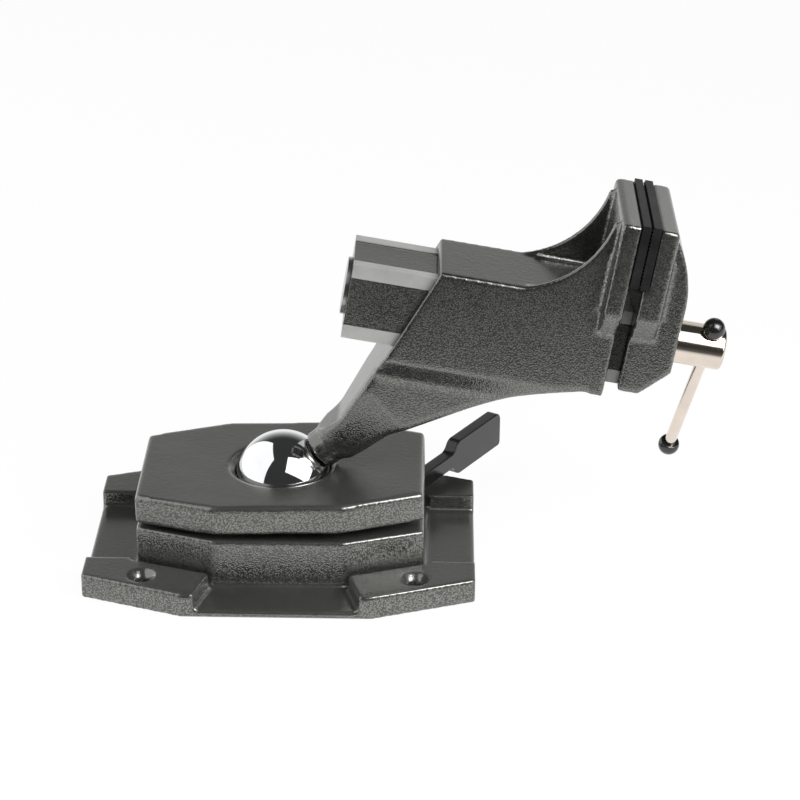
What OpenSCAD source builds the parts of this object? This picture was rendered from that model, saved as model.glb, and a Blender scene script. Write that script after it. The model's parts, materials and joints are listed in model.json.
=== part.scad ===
// Ball joint vise: a small bench vise on a clamped ball, screwed to a bench by its base.
// The origin is on the bench, under the centre of the ball. X runs along the base, towards the jaws,
// Y across it, Z up. All sizes are in millimetres.

/* [Base] */
// Length of the base plate
base_l = 172; // [160:1:190]
// Width of the base plate at its middle
base_w = 133.6; // [128:0.2:150]
// Width of the base plate at its two ends
base_end_w = 99.4; // [92:0.2:108]
// Length of the straight edge at the front and the rear
base_edge_l = 80.6; // [74:0.2:90]
// Thickness of the base's floor
floor_t = 3.5; // [3:0.1:5]
// Height of the four bolting pads
pad_h = 11; // [10:0.1:12]
// Width of the channel between the front and rear pads
channel_w = 64; // [56:1:68]
// Width of the groove between a pad and the clamp block
groove_w = 2.3; // [1.5:0.1:3]
// Width of the front and rear notches at the edge of the base
notch_w = 72; // [66:1:76]
// Width of the same notches at the clamp block
notch_inner_w = 59; // [52:1:64]

/* [Bench bolts] */
// Distance between the bolt holes along the base
bolt_dx = 119; // [110:0.5:128]
// Distance between the bolt holes across the base
bolt_dy = 97.5; // [94:0.5:102]
// Diameter of the bolt holes
bolt_hole_d = 6.5; // [5:0.1:7]
// Diameter of the countersink on top of a pad
countersink_d = 12.4; // [10:0.1:14]

/* [Clamp block] */
// Length of the clamp block and of the plate above it
block_l = 126.6; // [120:0.2:134]
// Width of the clamp block at its middle
block_w = 88.6; // [86:0.2:94]
// Width of the clamp block at its ends
block_end_w = 64; // [58:0.5:68]
// Length of the clamp block's straight edge
block_edge_l = 57; // [50:0.5:62]
// Height of the clamp block's top above the bench
block_top = 25.5; // [25:0.1:27]
// Thickness of the clamp block's side walls
block_wall = 6; // [4:0.5:8]

/* [Clamp plate] */
// Thickness of the clamp plate
plate_t = 13.4; // [12:0.1:15]
// Gap between block and plate, under the middle of the plate
plate_gap = 3.4; // [2.5:0.1:4]
// Tilt of the plate, its lever end up
plate_tilt = 1.5; // [0.5:0.1:2]
// Diameter of the rim around the ball, on top of the plate
rim_d = 48.6; // [46:0.2:54]
// Depth of the bevel inside that rim
rim_depth = 2.6; // [1.5:0.1:3.2]

/* [Plate hinge] */
// Place of the hinge pin along the base
hinge_x = -48; // [-49:0.5:-42]
// Height of the hinge pin above the bench
hinge_z = 13; // [12:0.5:14]
// Diameter of the hinge pin
hinge_pin_d = 6; // [4:0.5:8]
// Outside diameter of the plate's lug
lug_d = 12; // [11:0.5:13]
// Width of the plate's lug
lug_w = 16; // [12:0.5:20]
// Length of each bearing of the hinge pin
pin_bearing_l = 8; // [6:0.5:10]
// Width of each bearing of the hinge pin
pin_bearing_w = 14; // [12:0.5:16]

/* [Clamp lever] */
// Place of the clamp screw along the base
clamp_x = 38.9; // [38.5:0.1:45]
// Diameter of the clamp screw
clamp_screw_d = 10; // [8:0.5:12]
// Depth of the clamp screw in the plate
clamp_screw_depth = 9; // [7:0.5:10]
// Outside diameter of the lever's hub nut
hub_d = 18; // [16:0.5:20]
// Length of the hub nut below the lever's own bottom edge
hub_drop = 2; // [0.5:0.5:4]
// Thickness of the thrust washer on the hub nut
washer_t = 1.5; // [1:0.1:2]
// Outside diameter of the thrust washer
washer_d = 20; // [18:0.5:24]
// Direction of the lever when clamped, from the base's length
lever_angle = 58.9; // [50:0.1:60]
// Travel of the lever
lever_travel = 80; // [60:1:80]
// Thickness of the lever
lever_t = 6; // [4:0.5:7]
// Height of the lever's shank above the bolting pads
lever_lift = 2.1; // [1.2:0.1:2.6]
// Height of the lever's shank
shank_h = 7.4; // [7:0.1:8.2]
// Height of the lever's paddle
paddle_h = 17.2; // [12:0.2:18]
// Distance of the paddle's shoulder from the clamp screw
paddle_start = 72; // [68:1:80]
// Distance of the lever's tip from the clamp screw
lever_l = 112; // [100:1:120]
// Length of the slope at the paddle's shoulder
shoulder_l = 3; // [2:0.5:6]

/* [Ball joint] */
// Diameter of the ball
ball_d = 43; // [41:0.2:43.6]
// Height of the ball's centre above the bench
ball_z = 35.4; // [34.6:0.1:36]
// Outside diameter of the ball's lower seat
seat_d = 40; // [39:0.5:41]
// Wall of the boss around the seat
seat_wall = 6; // [4:0.5:8]
// Thickness of the seat under the ball
seat_t = 5.4; // [4:0.1:6]
// Thickness of the boss's floor under the seat
seat_floor_t = 3; // [2:0.1:4]
// Height of the seat's rim below the top of the clamp block
seat_drop = 1; // [0.5:0.1:2]
// Diameter of the stud between ball and neck
stud_d = 12; // [8:0.5:12]
// Depth of the stud in the ball
stud_ball_l = 14; // [10:0.5:18]
// Depth of the stud in the neck
stud_neck_l = 20; // [14:0.5:24]
// Gap between the ball and the neck
neck_gap = 1.2; // [0.8:0.1:2]

/* [Head] */
// Dip of the slide axis below the horizontal
head_pitch = 9.6; // [5:0.1:12]
// Distance of the slide axis from the ball's centre
slide_z = 96.6; // [92:0.2:100]
// Angle between the neck and the slide axis
neck_angle = 49.6; // [47:0.1:52]
// Diameter of the neck
neck_d = 17.6; // [16.5:0.1:19]
// Length of the round neck, from the ball's centre
neck_l = 27; // [25:0.5:30]
// Growth of the neck's radius along the arm, until its flat sides take over
neck_flare = 0.55; // [0.4:0.05:0.8]
// Width of the arm under the body
arm_w = 33; // [30:0.5:36]
// Distance from the ball at which the arm has its full width
arm_full_at = 62; // [58:1:68]
// Height of the slope between the body's sides and the arm
arm_step = 10; // [8:0.5:12]
// Slope of the arm's underside near the neck, from the slide axis
arm_slope = 31.5; // [30:0.5:33]
// Slope of the same underside where it meets the jaw
arm_end_slope = 14.4; // [12:0.2:17]
// Radius of the curve between these two slopes
arm_r = 185; // [170:1:195]

/* [Fixed jaw body] */
// Width of the body
body_w = 43; // [42:0.2:48]
// Height of the body's top above the slide axis
body_up = 21; // [20.5:0.1:24]
// Depth of the body's bottom below the slide axis
body_down = 23; // [22.5:0.1:25]
// Place of the lower rear corner along the slide axis
body_rear = 33.4; // [31:0.2:36]
// Lean of the rear face
rear_lean = 21.2; // [18:0.1:24]
// Place of the fixed jaw's face along the slide axis
jaw_face = 129.2; // [126:0.2:134]
// Thickness of the two ribs behind the jaw
rib_t = 3.2; // [2.5:0.1:5]
// Radius of the ribs' curved edge
rib_r = 43.2; // [40:0.2:46]
// Thickness of the ribs at their upper end, along the slide axis
rib_top = 1.8; // [1:0.1:3]
// Depth of the ribs' curve below the body's top
rib_dip = 1.4; // [1:0.1:2]
// Height of the jaw's top above the ribs
rib_drop = 2.8; // [2.5:0.1:5]

/* [Jaws] */
// Width of the jaws
jaw_w = 59; // [56:0.5:66]
// Height of the jaws' top above the slide axis
jaw_up = 59.4; // [57:0.2:62]
// Thickness of the fixed jaw behind its pad
jaw_t = 8.4; // [7.5:0.1:10]
// Height of the jaws' full width above the slide axis
jaw_full_z = 17.6; // [14:0.2:20]
// Height above the slide axis at which the jaws have narrowed to the body
jaw_foot_z = 6; // [3:0.2:9]
// Radius of the cove between the jaw and the body's side
cove_r = 4; // [2.5:0.1:4]
// Edge break at the jaws' upper corners
jaw_edge = 1.6; // [0.8:0.1:2.4]
// Radius of the jaws' top edge, on the side away from the pad
jaw_round = 2.2; // [1.4:0.1:2.4]
// Opening travel of the moving jaw
jaw_travel = 50; // [40:1:52]

/* [Jaw pads] */
// Thickness of a jaw pad
pad_t = 3.9; // [3.4:0.1:5]
// Height of a jaw pad
pad_height = 28.6; // [26:0.2:31]
// Height of the pad's top above the jaw
pad_proud = 1; // [0.5:0.1:2]
// Pitch of the grip teeth
tooth_pitch = 1.6; // [1.2:0.1:2.4]
// Depth of the grip teeth
tooth_depth = 0.5; // [0.3:0.05:0.8]
// Gap between the closed pads
pad_gap = 0.2; // [0.1:0.05:0.5]
// Diameter of the pad screws
pad_screw_d = 4; // [3:0.5:5]
// Diameter of the pad screws' heads
pad_screw_head_d = 8; // [6:0.5:9]
// Length of the pad screws
pad_screw_l = 9; // [8:0.5:10]
// Distance of a pad screw from the middle of the jaw
pad_screw_y = 17; // [12:0.5:20]

/* [Moving jaw] */
// Thickness of the moving jaw's plate
front_jaw_t = 8.2; // [7:0.1:10]
// Depth of the step below the moving jaw's pad, towards the fixed jaw
pad_step = 2.3; // [1:0.1:3]
// Depth of the boss in front of the jaw pad
boss_t = 19; // [18:0.2:24]
// Radius of the boss's curved front
boss_r = 56.5; // [48:0.5:60]
// Height above the slide axis at which the boss begins to curve back
boss_curve_z = 21.4; // [18:0.2:24]
// Depth of the boss's bottom below the slide axis
boss_down = 19.2; // [18:0.2:21]
// Size of the slope at the boss's lower front
boss_slope = 12; // [10:0.2:15]
// Width of the guide bar
bar_w = 36; // [34:0.2:38]
// Height of the guide bar
bar_h = 34; // [32:0.2:36]
// Place of the guide bar's rear end along the slide axis
bar_rear = 13.4; // [8:0.2:18]
// Width of the machined lands at the bar's corners
land_w = 6; // [4:0.2:8]
// Depth of the painted faces between the lands
land_step = 0.7; // [0.4:0.1:1.2]
// Diameter of the bore inside the bar
bar_bore_d = 24; // [23:0.5:26]
// Width of the slot in the underside of the bar
bar_slot_w = 12; // [11:0.5:14]
// Diameter of the bar's end cap
cap_d = 25; // [25:0.2:28]
// Thickness of the end cap's rim
cap_t = 2; // [1:0.1:3]
// Length of the end cap's spigot
cap_spigot_l = 5; // [3:0.5:8]

/* [Spindle] */
// Diameter of the spindle
spindle_d = 14; // [12:0.5:14]
// Diameter of the spindle's head
spindle_head_d = 19.2; // [18:0.2:22]
// Length of the spindle's head
spindle_head_l = 24.3; // [20:0.1:28]
// Wall of the moving jaw that carries the spindle
bearing_l = 15; // [10:0.5:16]
// Thickness of the spindle's retaining ring
ring_t = 1.8; // [1.2:0.1:2.5]
// Outside diameter of the retaining ring
ring_d = 20; // [18:0.2:21]
// Depth of the groove for the retaining ring
ring_groove = 0.8; // [0.4:0.1:1.5]
// Length of the spindle nut
nut_l = 18; // [14:0.5:20]
// Outside diameter of the spindle nut
nut_d = 22; // [20:0.5:22]
// Width of the nut's foot in the bar's slot
nut_foot_w = 10; // [9:0.5:10]
// Distance of the nut from the fixed jaw's face
nut_set_back = 3; // [2:0.5:8]
// Diameter of the nut's screws
nut_screw_d = 5; // [4:0.5:6]
// Diameter of the nut screws' heads
nut_screw_head_d = 8.5; // [7:0.5:9]
// Height of the nut screws' heads
nut_screw_head_h = 2.8; // [2:0.1:3]
// Length of the nut screws above their heads
nut_screw_l = 8; // [6:0.5:9]
// Distance between the nut's screws
nut_screw_pitch = 9; // [8.8:0.1:10]

/* [Handle] */
// Diameter of the handle bar
handle_d = 5.2; // [4.5:0.1:6]
// Distance between the centres of the two knobs
handle_l = 88; // [76:1:100]
// Distance of the handle from the end of the spindle's head
handle_in = 8; // [7:0.5:10]
// Turn of the handle about the slide axis
handle_angle = 29; // [0:1:60]
// Diameter of the knobs
knob_d = 9.8; // [9:0.1:12]
// Distance of a knob's flat end from its middle
knob_flat = 2.8; // [2:0.1:4]
// Depth of the handle bar in a knob
knob_hole_l = 4; // [3:0.1:5]

/* [Fits] */
// Running clearance on a radius
run = 0.05; // [0.02:0.01:0.08]
// Clearance between the clamp plate and the ball
plate_clear = 0.15; // [0.1:0.01:0.3]
// Clearance of the clamp screw in its hub nut, on a radius
screw_clear = 0.1; // [0.05:0.01:0.2]
// Clearance of the handle bar in the spindle's head, on a radius
handle_clear = 0.15; // [0.05:0.01:0.3]
// Clearance of the guide bar in the body, each side
slide_clear = 0.15; // [0.05:0.01:0.3]
// Clearance around a clearance hole or a slot, each side
loose = 0.5; // [0.3:0.1:1]
// Clearance under and over the lever in its slot
lever_clear = 0.5; // [0.3:0.1:1]

/* [Hidden] */
$fn = 96;
eps = 0.01;
over = 1;
// The arm's flats lie this far outside the round neck, which is cut from them
flat_spare = 0.6;

paint = [0.27, 0.28, 0.28];
chrome = [0.85, 0.86, 0.88];
steel = [0.62, 0.63, 0.64];
black = [0.05, 0.05, 0.05];
brass = [0.72, 0.58, 0.32];

// Plans are [length, width, end width, edge length] of an octagon about the origin.
base_plan = [base_l, base_w, base_end_w, base_edge_l];
block_plan = [block_l, block_w, block_end_w, block_edge_l];

// Heights around the clamp lever, from the pads up.
lever_z = pad_h + lever_lift;
lever_top = lever_z + shank_h;
ceiling_z = lever_top + washer_t;
slot_z = lever_z - lever_clear;
plate_z = block_top + plate_gap;
hinge_pin_l = lug_w + 2 * loose + 2 * pin_bearing_l;

// Heights of the ball's lower seat.
ball_r = ball_d / 2;
seat_z = ball_z - ball_r - seat_t;
seat_top = block_top - seat_drop;

// Heights and places along the head, in the head's own frame.
body_top = slide_z + body_up;
body_bottom = slide_z - body_down;
jaw_top = slide_z + jaw_up;
rear_shift = (body_up + body_down) * tan(rear_lean);
front_jaw = jaw_face + 2 * pad_t + pad_gap;
boss_front = front_jaw + boss_t;
bore_end = boss_front - bearing_l;
nut_front = jaw_face - nut_set_back;
nut_rear = nut_front - nut_l;
nut_mid = nut_front - nut_l / 2;
// The spindle and the bar's slot reach this far back, so that open jaws still leave room for the nut
reach_rear = nut_rear - jaw_travel - over;
channel_floor = slide_z - bar_h / 2 - slide_clear;
cove_low = slide_z + jaw_full_z;
cove_high = body_top + rib_r / 2;
pad_top = jaw_top + pad_proud;
pad_low = pad_top - pad_height;
pad_mid = (pad_top + pad_low) / 2;
// Screw seats lie below the roots of the teeth
screw_face = pad_t - 2 * tooth_depth;
// Place of the retaining ring, just behind the bearing
ring_x = bore_end - ring_t - 2 * run;
handle_x = boss_front + spindle_head_l - handle_in;
handle_hole_r = handle_d / 2 + handle_clear;
knob_r = knob_d / 2;
// The upper knob's flat end rests on the spindle's head
knob_up = spindle_head_d / 2 + knob_flat + handle_clear;
// End of the handle bar, past the middle of a knob
knob_bar_end = knob_hole_l - knob_flat;

// Corners of an octagon plan.
function octagon(p) = let (a = p[0] / 2, b = p[1] / 2, c = p[2] / 2, d = p[3] / 2)
  [[a, -c], [a, c], [d, b], [-d, b], [-a, c], [-a, -c], [-d, -b], [d, -b]];

// The same plan with every edge moved inwards by t, or outwards where t is negative.
function inset(p, t) =
  let (
    a = p[0] / 2,
    b = p[1] / 2,
    c = p[2] / 2,
    d = p[3] / 2,
    slope = atan2(b - c, a - d),
    reach = a * sin(slope) + c * cos(slope) - t
  )
  [
    p[0] - 2 * t,
    p[1] - 2 * t,
    2 * (reach - (a - t) * sin(slope)) / cos(slope),
    2 * (reach - (b - t) * cos(slope)) / sin(slope)
  ];

// A slab with an octagon plan.
module slab(plan, h) {
  linear_extrude(h) polygon(octagon(plan));
}

// A side profile, drawn in X and Z, made w wide across Y.
module across(w) {
  rotate([90, 0, 0]) linear_extrude(w, center = true) children();
}

// A front profile, drawn in Y and Z, made l long along X.
module along(l) {
  rotate([90, 0, 90]) linear_extrude(l) children();
}

// A cylinder along X, from its children's origin.
module rod_x(d, l) {
  rotate([0, 90, 0]) cylinder(d = d, h = l);
}

// A cylinder along Y, about its middle.
module rod_y(d, l) {
  rotate([90, 0, 0]) cylinder(d = d, h = l, center = true);
}

// The four bench bolts, and other features that repeat at the four corners.
module at_bolts() {
  for (sx = [-1, 1], sy = [-1, 1]) translate([sx * bolt_dx / 2, sy * bolt_dy / 2, 0]) children();
}

// The clamp plate's frame: its underside at the middle, tilted.
module plate_frame() {
  translate([0, 0, plate_z]) rotate([0, -plate_tilt, 0]) children();
}

// The head's frame: origin at the ball's centre, X along the slide axis, Z square to it.
module head_frame() {
  translate([0, 0, ball_z]) rotate([0, head_pitch, 0]) children();
}

// The neck's frame: origin at the ball's centre, Z along the neck.
module neck_frame() {
  head_frame() rotate([0, 90 - neck_angle, 0]) children();
}

// The handle's frame: origin on the slide axis, Z along the handle bar.
module handle_frame() {
  head_frame() translate([handle_x, 0, slide_z]) rotate([handle_angle, 0, 0]) children();
}

// Bolting pads: what is left of the base's plan beside the block, the channel and the notches.
module bolting_pads() {
  difference() {
    slab(base_plan, pad_h);
    translate([0, 0, -over]) slab(inset(block_plan, -groove_w), pad_h + 2 * over);
    translate([-base_l, -channel_w / 2, -over]) cube([2 * base_l, channel_w, pad_h + 2 * over]);
    for (turn = [0, 180]) rotate([0, 0, turn]) translate([0, 0, -over]) notch_cut(pad_h + 2 * over);
  }
}

// One notch of the base's edge, narrower towards the block.
module notch_cut(h) {
  flare = (notch_w - notch_inner_w) / (base_w - block_w);
  far = base_w / 2 + over;
  function half_w(y) = notch_inner_w / 2 + (y - block_w / 2) * flare;
  linear_extrude(h) polygon([
    [-half_w(0), 0], [half_w(0), 0], [half_w(far), far], [-half_w(far), far]
  ]);
}

// Hollow under the clamp block, around the boss of the ball's seat and the bearings of the hinge pin.
module block_hollow() {
  difference() {
    translate([0, 0, -over]) slab(inset(block_plan, block_wall), ceiling_z + over);
    translate([0, 0, seat_z - seat_floor_t]) cylinder(d = seat_d + 2 * seat_wall, h = block_top);
    for (side = [-1, 1]) {
      translate([hinge_x, side * (hinge_pin_l - pin_bearing_l) / 2, block_top / 2 + hinge_z - lug_d / 2])
        cube([pin_bearing_w, pin_bearing_l, block_top], center = true);
    }
  }
}

// Fan-shaped slot through the wall of the block, in which the lever swings.
module lever_slot() {
  reach = block_l / 2;
  clear_w = lever_t + 2 * loose;
  translate([clamp_x, 0, slot_z]) linear_extrude(lever_top + lever_clear - slot_z) {
    for (a = [lever_angle, lever_angle - lever_travel])
      rotate(a) translate([0, -clear_w / 2]) square([reach, clear_w]);
    polygon([
      [0, 0],
      for (part = [1, 0.5, 0]) let (a = lever_angle - part * lever_travel) reach * [cos(a), sin(a)]
    ]);
  }
}

module base_casting() {
  color(paint) difference() {
    union() {
      slab(base_plan, floor_t);
      bolting_pads();
      slab(block_plan, block_top);
    }
    block_hollow();
    lever_slot();
    // Seat of the ball
    translate([0, 0, seat_z]) cylinder(r = seat_d / 2 + run, h = block_top);
    // Clamp screw
    translate([clamp_x, 0, -over]) cylinder(d = clamp_screw_d + 2 * loose, h = block_top + 2 * over);
    // Lug of the plate and its pin
    translate([hinge_x - lug_d / 2 - loose, -lug_w / 2 - loose, ceiling_z - over])
      cube([lug_d + 2 * loose, lug_w + 2 * loose, block_top]);
    translate([hinge_x, 0, hinge_z]) rod_y(hinge_pin_d + 2 * run, hinge_pin_l + over);
    // Bench bolts
    at_bolts() {
      translate([0, 0, -over]) cylinder(d = bolt_hole_d, h = pad_h + 2 * over);
      translate([0, 0, pad_h - (countersink_d - bolt_hole_d) / 2])
        cylinder(d1 = bolt_hole_d, d2 = countersink_d, h = (countersink_d - bolt_hole_d) / 2);
    }
  }
}

module plate_hinge_pin() {
  color(steel) translate([hinge_x, 0, hinge_z]) rod_y(hinge_pin_d, hinge_pin_l);
}

module clamp_plate() {
  hole_r = ball_r + plate_clear;
  rim_inner_d = 2 * sqrt(pow(hole_r, 2) - pow(plate_z + plate_t - rim_depth - ball_z, 2));
  color(paint) difference() {
    union() {
      plate_frame() slab(block_plan, plate_t);
      translate([hinge_x, 0, hinge_z]) {
        rod_y(lug_d, lug_w);
        translate([-lug_d / 2, -lug_w / 2, 0]) cube([lug_d, lug_w, plate_z - hinge_z]);
      }
    }
    // Hole of the ball, and the bevel around it
    translate([0, 0, ball_z]) sphere(r = hole_r);
    translate([0, 0, block_top]) cylinder(r = hole_r, h = ball_z - block_top);
    plate_frame() translate([0, 0, plate_t - rim_depth])
      cylinder(d1 = rim_inner_d, d2 = rim_d, h = rim_depth + eps);
    clamp_screw_hole();
    translate([hinge_x, 0, hinge_z]) rod_y(hinge_pin_d + 2 * run, lug_w + over);
  }
}

// Blind hole for the clamp screw in the underside of the plate.
module clamp_screw_hole() {
  translate([clamp_x, 0, block_top]) cylinder(d = clamp_screw_d, h = clamp_screw_top() - block_top);
}

// Top of the clamp screw: so deep in the plate, whose underside rises with its tilt.
function clamp_screw_top() = plate_z + clamp_x * tan(plate_tilt) + clamp_screw_depth;

module clamp_stud() {
  bottom = lever_z - hub_drop - over;
  length = clamp_screw_top() - bottom;
  color(steel) translate([clamp_x, 0, bottom]) cylinder(d = clamp_screw_d, h = length);
}

module clamp_nut() {
  height = shank_h + hub_drop;
  color(steel) translate([clamp_x, 0, lever_z - hub_drop]) difference() {
    cylinder(d = hub_d, h = height);
    translate([0, 0, -over]) cylinder(r = clamp_screw_d / 2 + screw_clear, h = height + 2 * over);
  }
}

module clamp_lever() {
  low = (paddle_h - shank_h) / 2;
  color(black) translate([clamp_x, 0, lever_z]) rotate([0, 0, lever_angle]) difference() {
    across(lever_t) polygon([
      [0, 0],
      [paddle_start - shoulder_l, 0],
      [paddle_start, -low],
      [lever_l, -low],
      [lever_l, shank_h + low],
      [paddle_start, shank_h + low],
      [paddle_start - shoulder_l, shank_h],
      [0, shank_h]
    ]);
    translate([0, 0, -over]) cylinder(d = hub_d, h = shank_h + 2 * over);
  }
}

module clamp_washer() {
  color(steel) translate([clamp_x, 0, lever_top]) difference() {
    cylinder(d = washer_d, h = washer_t);
    translate([0, 0, -over]) cylinder(d = clamp_screw_d + loose, h = washer_t + 2 * over);
  }
}

module lower_ball_seat() {
  color(brass) difference() {
    translate([0, 0, seat_z]) cylinder(d = seat_d, h = seat_top - seat_z);
    translate([0, 0, ball_z]) sphere(r = ball_r + run);
  }
}

module ball() {
  color(chrome) difference() {
    translate([0, 0, ball_z]) sphere(r = ball_r);
    neck_frame() translate([0, 0, ball_r - stud_ball_l]) cylinder(d = stud_d, h = ball_r);
  }
}

module ball_stud() {
  color(steel) neck_frame() translate([0, 0, ball_r - stud_ball_l])
    cylinder(d = stud_d, h = stud_ball_l + neck_gap + stud_neck_l);
}

// Side view of the arm, down to the neck's two edges. It is wider at the body, and the curve of its
// underside is cut from it afterwards.
module arm_side() {
  neck_r = neck_d / 2 + flat_spare;
  rise = tan(rear_lean);
  back = jaw_face - jaw_t;
  // The underside's arc ends at the jaw's foot, and its straight stretch is tangent to the arc
  arc = [back + arm_r * sin(arm_end_slope), body_bottom - arm_r * cos(arm_end_slope)];
  touch = arc + arm_r * [-sin(arm_slope), cos(arm_slope)];
  // A point so far along the neck, on its upper or lower edge
  function on_neck(s, r) = [
    s * cos(neck_angle) - r * sin(neck_angle),
    s * sin(neck_angle) + r * cos(neck_angle)
  ];
  // Where the neck's upper edge meets the rear face's line
  upper = on_neck(0, neck_r);
  k = (body_rear - (body_bottom - upper[1]) * rise - upper[0])
    / (cos(neck_angle) - sin(neck_angle) * rise);
  // Where the neck's lower edge meets the underside's line
  lower = on_neck(0, -neck_r);
  j = ((touch[1] - lower[1]) - (touch[0] - lower[0]) * tan(arm_slope))
    / (sin(neck_angle) - cos(neck_angle) * tan(arm_slope));
  difference() {
    polygon([
      on_neck(0, neck_r),
      on_neck(k, neck_r),
      [body_rear, body_bottom],
      [body_rear + over * rise, body_bottom + over],
      [back, body_bottom + over],
      [back, touch[1]],
      touch,
      on_neck(j, -neck_r),
      on_neck(0, -neck_r)
    ]);
    translate(arc) circle(r = arm_r, $fn = 360);
  }
}

// The arm: flat-sided and wide under the body, round at the neck.
module arm() {
  far = 2 * (slide_z + body_up);
  start = neck_d / 2 + flat_spare;
  // A width that grows along the neck, from the neck's own diameter to the arm's width
  function half_w(s) = start + (s - neck_l) * (arm_w / 2 - start) / (arm_full_at - neck_l);
  intersection() {
    head_frame() across(arm_w) arm_side();
    neck_frame() rotate([90, 0, 90]) linear_extrude(2 * far, center = true) polygon([
      [-start, 0], [start, 0], [start, neck_l], [half_w(far), far], [-half_w(far), far], [-start, neck_l]
    ]);
    neck_frame() rotate_extrude() polygon([
      [0, 0],
      [neck_d / 2, 0],
      [neck_d / 2, neck_l],
      [neck_d / 2 + (far - neck_l) * neck_flare, far],
      [0, far]
    ]);
  }
}

// Sloped shoulder between the body's sides and the arm, which ends inside the arm.
module arm_shoulder() {
  low = arm_step + over;
  low_w = body_w - (body_w - arm_w) * low / arm_step;
  head_frame() intersection() {
    across(2 * body_w) arm_side();
    translate([0, 0, body_bottom]) along(jaw_face - jaw_t - over) polygon([
      [-body_w / 2, eps], [body_w / 2, eps], [low_w / 2, -low], [-low_w / 2, -low]
    ]);
  }
}

// Front view of a jaw's plate, narrowed to the body at its foot.
module jaw_front() {
  polygon([
    [-body_w / 2, slide_z + jaw_foot_z],
    [body_w / 2, slide_z + jaw_foot_z],
    [jaw_w / 2, slide_z + jaw_full_z],
    [jaw_w / 2, jaw_top - jaw_edge],
    [jaw_w / 2 - jaw_edge, jaw_top],
    [-jaw_w / 2 + jaw_edge, jaw_top],
    [-jaw_w / 2, jaw_top - jaw_edge],
    [-jaw_w / 2, slide_z + jaw_full_z]
  ]);
}

// Cut that rounds a jaw's top edge: its origin is on the edge, with the jaw towards +X.
module edge_cut() {
  across(2 * jaw_w) difference() {
    translate([-over, -jaw_round]) square(jaw_round + over);
    translate([jaw_round, -jaw_round]) circle(r = jaw_round);
  }
}

// Coves in the corners between a jaw plate's back and the sides behind it. dir is the side on which
// the body lies.
module coves(x, dir) {
  height = cove_high - cove_low;
  for (side = [-1, 1]) {
    translate([x, side * body_w / 2, cove_low]) difference() {
      translate([dir > 0 ? -eps : -cove_r, side > 0 ? -eps : -cove_r, 0])
        cube([cove_r + eps, cove_r + eps, height]);
      translate([dir * cove_r, side * cove_r, -over]) cylinder(r = cove_r, h = height + 2 * over);
    }
  }
}

// The two ribs behind the fixed jaw, with a hollow curved edge.
module ribs() {
  back = jaw_face - jaw_t;
  height = jaw_top - rib_drop - body_top;
  reach = rib_r + rib_top;
  for (side = [-1, 1]) {
    difference() {
      translate([back - reach, side * (body_w - rib_t) / 2 - rib_t / 2, body_top - over])
        cube([reach + eps, rib_t, height + over]);
      translate([back - reach, 0, body_top + rib_r - rib_dip]) rod_y(2 * rib_r, 2 * body_w, $fn = 180);
    }
  }
}

module vise_body() {
  color(paint) difference() {
    union() {
      head_frame() {
        across(body_w) polygon([
          [body_rear, body_bottom],
          [jaw_face, body_bottom],
          [jaw_face, body_top],
          [body_rear + rear_shift, body_top]
        ]);
        translate([jaw_face - jaw_t, 0, 0]) along(jaw_t) jaw_front();
        coves(jaw_face - jaw_t, -1);
        ribs();
      }
      arm();
      arm_shoulder();
    }
    // Channel of the guide bar
    head_frame() translate([0, 0, slide_z]) along(jaw_face + over)
      square([bar_w + 2 * slide_clear, bar_h + 2 * slide_clear], center = true);
    head_frame() translate([jaw_face - jaw_t, 0, jaw_top]) edge_cut();
    // Stud of the ball, and the hollow end of the neck
    neck_frame() cylinder(r = stud_d / 2 + run, h = ball_r + neck_gap + stud_neck_l);
    translate([0, 0, ball_z]) sphere(r = ball_r + neck_gap);
    fixed_screw_holes();
    nut_screw_holes();
  }
}

// A place for each of a pad's two screws, on the jaw's face at x.
module at_pad_screws(x) {
  head_frame() for (side = [-1, 1]) translate([x, side * pad_screw_y, pad_mid]) children();
}

// A countersunk screw along X, its head's face at the origin.
module pad_screw() {
  cone_l = (pad_screw_head_d - pad_screw_d) / 2;
  rotate([0, -90, 0]) {
    cylinder(d1 = pad_screw_head_d, d2 = pad_screw_d, h = cone_l);
    cylinder(d = pad_screw_d, h = pad_screw_l);
  }
}

// Hole for such a screw, right through a pad.
module pad_screw_hole() {
  cone_l = (pad_screw_head_d - pad_screw_d) / 2;
  rotate([0, -90, 0]) {
    cylinder(d1 = pad_screw_head_d, d2 = pad_screw_d, h = cone_l);
    translate([0, 0, -over]) cylinder(d = pad_screw_d, h = pad_screw_l + over);
    translate([0, 0, -over]) cylinder(d = pad_screw_head_d, h = over + eps);
  }
}

// Side view of a jaw pad: its back at x = 0, its teeth towards +X.
module pad_side() {
  count = floor(pad_height / tooth_pitch);
  base = pad_t - tooth_depth;
  first = pad_top - (pad_height - count * tooth_pitch) / 2;
  polygon([
    [0, pad_low],
    [0, pad_top],
    [base, pad_top],
    for (i = [0 : count - 1], p = [[0, 0], [tooth_depth, 0.5]])
      [base + p[0], first - (i + p[1]) * tooth_pitch],
    [base, first - count * tooth_pitch],
    [base, pad_low]
  ]);
}

module fixed_screw_holes() {
  at_pad_screws(jaw_face + screw_face) pad_screw_hole();
}

module fixed_jaw_pad() {
  color(black) difference() {
    head_frame() translate([jaw_face, 0, 0]) across(jaw_w) pad_side();
    fixed_screw_holes();
  }
}

module fixed_pad_screws() {
  color(steel) at_pad_screws(jaw_face + screw_face) pad_screw();
}

module moving_screw_holes() {
  at_pad_screws(front_jaw - screw_face) mirror([1, 0, 0]) pad_screw_hole();
}

module moving_jaw_pad() {
  color(black) difference() {
    head_frame() translate([front_jaw, 0, 0]) mirror([1, 0, 0]) across(jaw_w) pad_side();
    moving_screw_holes();
  }
}

module moving_pad_screws() {
  color(steel) at_pad_screws(front_jaw - screw_face) mirror([1, 0, 0]) pad_screw();
}

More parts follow.
